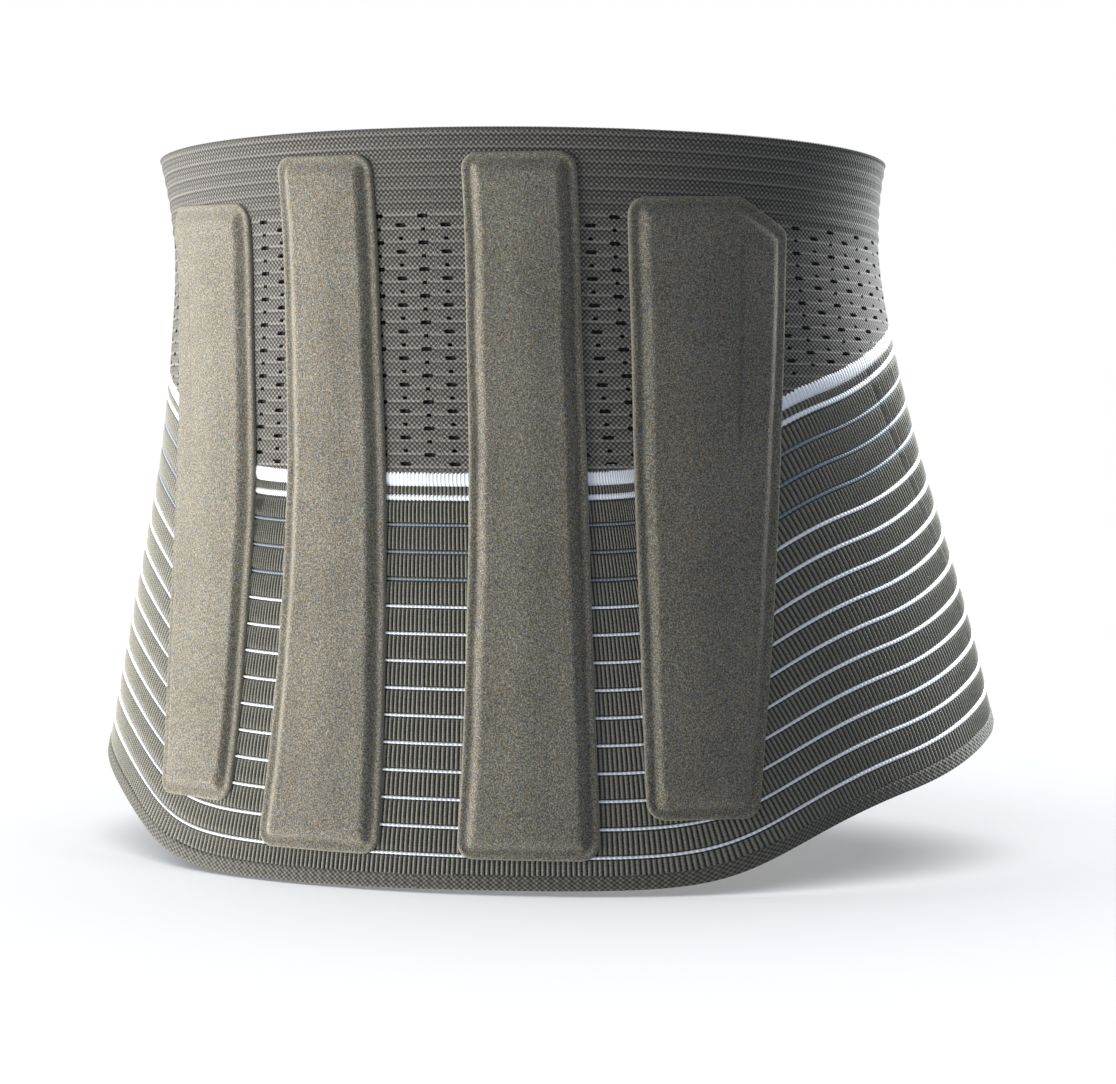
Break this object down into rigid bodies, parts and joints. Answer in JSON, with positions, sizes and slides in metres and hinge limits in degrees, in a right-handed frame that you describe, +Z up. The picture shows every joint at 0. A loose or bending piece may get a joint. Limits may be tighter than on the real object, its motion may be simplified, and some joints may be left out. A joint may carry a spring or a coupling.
{
  "type": "lumbar support belt",
  "caption": "Elastic lumbar support belt, closed as worn, with stay pads on the back and overlapping hook-and-loop tongues in front.",
  "frame": {"origin": "on the torso's axis, in the plane of the belt's lowest edge", "axes": "+Z up the torso, +Y the way the wearer faces, +X the wearer's right"},
  "size_m": [0.355, 0.2423, 0.27],
  "materials": {
    "knit": "ribbed elastic knit with white inlay lines",
    "cover": "taupe-grey brushed microfibre laminate",
    "backing": "soft brushed tricot",
    "spring_steel": "flat spring steel",
    "stay_plastic": "semi-rigid extruded plastic",
    "tip_plastic": "moulded end caps",
    "tongue": "foam-backed laminate",
    "lining": "smooth tricot",
    "binding": "folded woven tape",
    "webbing": "woven webbing",
    "hook": "moulded hook tape",
    "pile": "brushed loop pile",
    "label": "blank woven satin label"
  },
  "bodies": {
    "back": {"knit_back": "knit", "right_centre_stay_cover": "cover", "right_centre_backing": "backing", "right_centre_stay": "spring_steel", "right_centre_stay_top_tip": "tip_plastic", "right_centre_stay_bottom_tip": "tip_plastic", "right_outer_stay_cover": "cover", "right_outer_backing": "backing", "right_outer_stay": "stay_plastic", "right_outer_stay_top_tip": "tip_plastic", "right_outer_stay_bottom_tip": "tip_plastic", "left_centre_stay_cover": "cover", "left_centre_backing": "backing", "left_centre_stay": "spring_steel", "left_centre_stay_top_tip": "tip_plastic", "left_centre_stay_bottom_tip": "tip_plastic", "left_outer_stay_cover": "cover", "left_outer_backing": "backing", "left_outer_stay": "stay_plastic", "left_outer_stay_top_tip": "tip_plastic", "left_outer_stay_bottom_tip": "tip_plastic"},
    "right_flank": {"knit_right_flank": "knit"},
    "right_front": {"knit_right_front": "knit", "right_tongue_panel": "tongue", "right_tongue_lining": "lining", "right_tongue_edge_binding": "binding", "right_root_seam_tape": "binding", "right_finger_loop": "webbing", "hook_patch": "hook"},
    "left_flank": {"knit_left_flank": "knit", "care_label": "label"},
    "left_front": {"knit_left_front": "knit", "left_tongue_panel": "tongue", "left_tongue_lining": "lining", "left_tongue_edge_binding": "binding", "left_root_seam_tape": "binding", "left_finger_loop": "webbing", "loop_pile_panel": "pile"}
  },
  "joints": [
    {"name": "right_flank_fold", "type": "hinge", "parent": "back", "child": "right_flank", "pos_m": [0.167, -0.0235, 0.033], "axis": [0.1514, 0.0697, -0.986], "range_deg": [0, 50]},
    {"name": "right_front_fold", "type": "hinge", "parent": "right_flank", "child": "right_front", "pos_m": [0.1564, 0.071, 0.0466], "axis": [0.1528, 0.101, -0.9831], "range_deg": [0, 65]},
    {"name": "left_flank_fold", "type": "hinge", "parent": "back", "child": "left_flank", "pos_m": [-0.167, -0.0235, 0.033], "axis": [0.1514, -0.0697, 0.986], "range_deg": [0, 40]},
    {"name": "left_front_fold", "type": "hinge", "parent": "left_flank", "child": "left_front", "pos_m": [-0.1564, 0.071, 0.0466], "axis": [0.1528, -0.101, 0.9831], "range_deg": [0, 52]}
  ],
  "couplings": [
    {"joint": "right_front_fold", "follows": "right_flank_fold", "ratio": 1.3},
    {"joint": "left_flank_fold", "follows": "right_flank_fold", "ratio": 0.8},
    {"joint": "left_front_fold", "follows": "right_flank_fold", "ratio": 1.04}
  ]
}
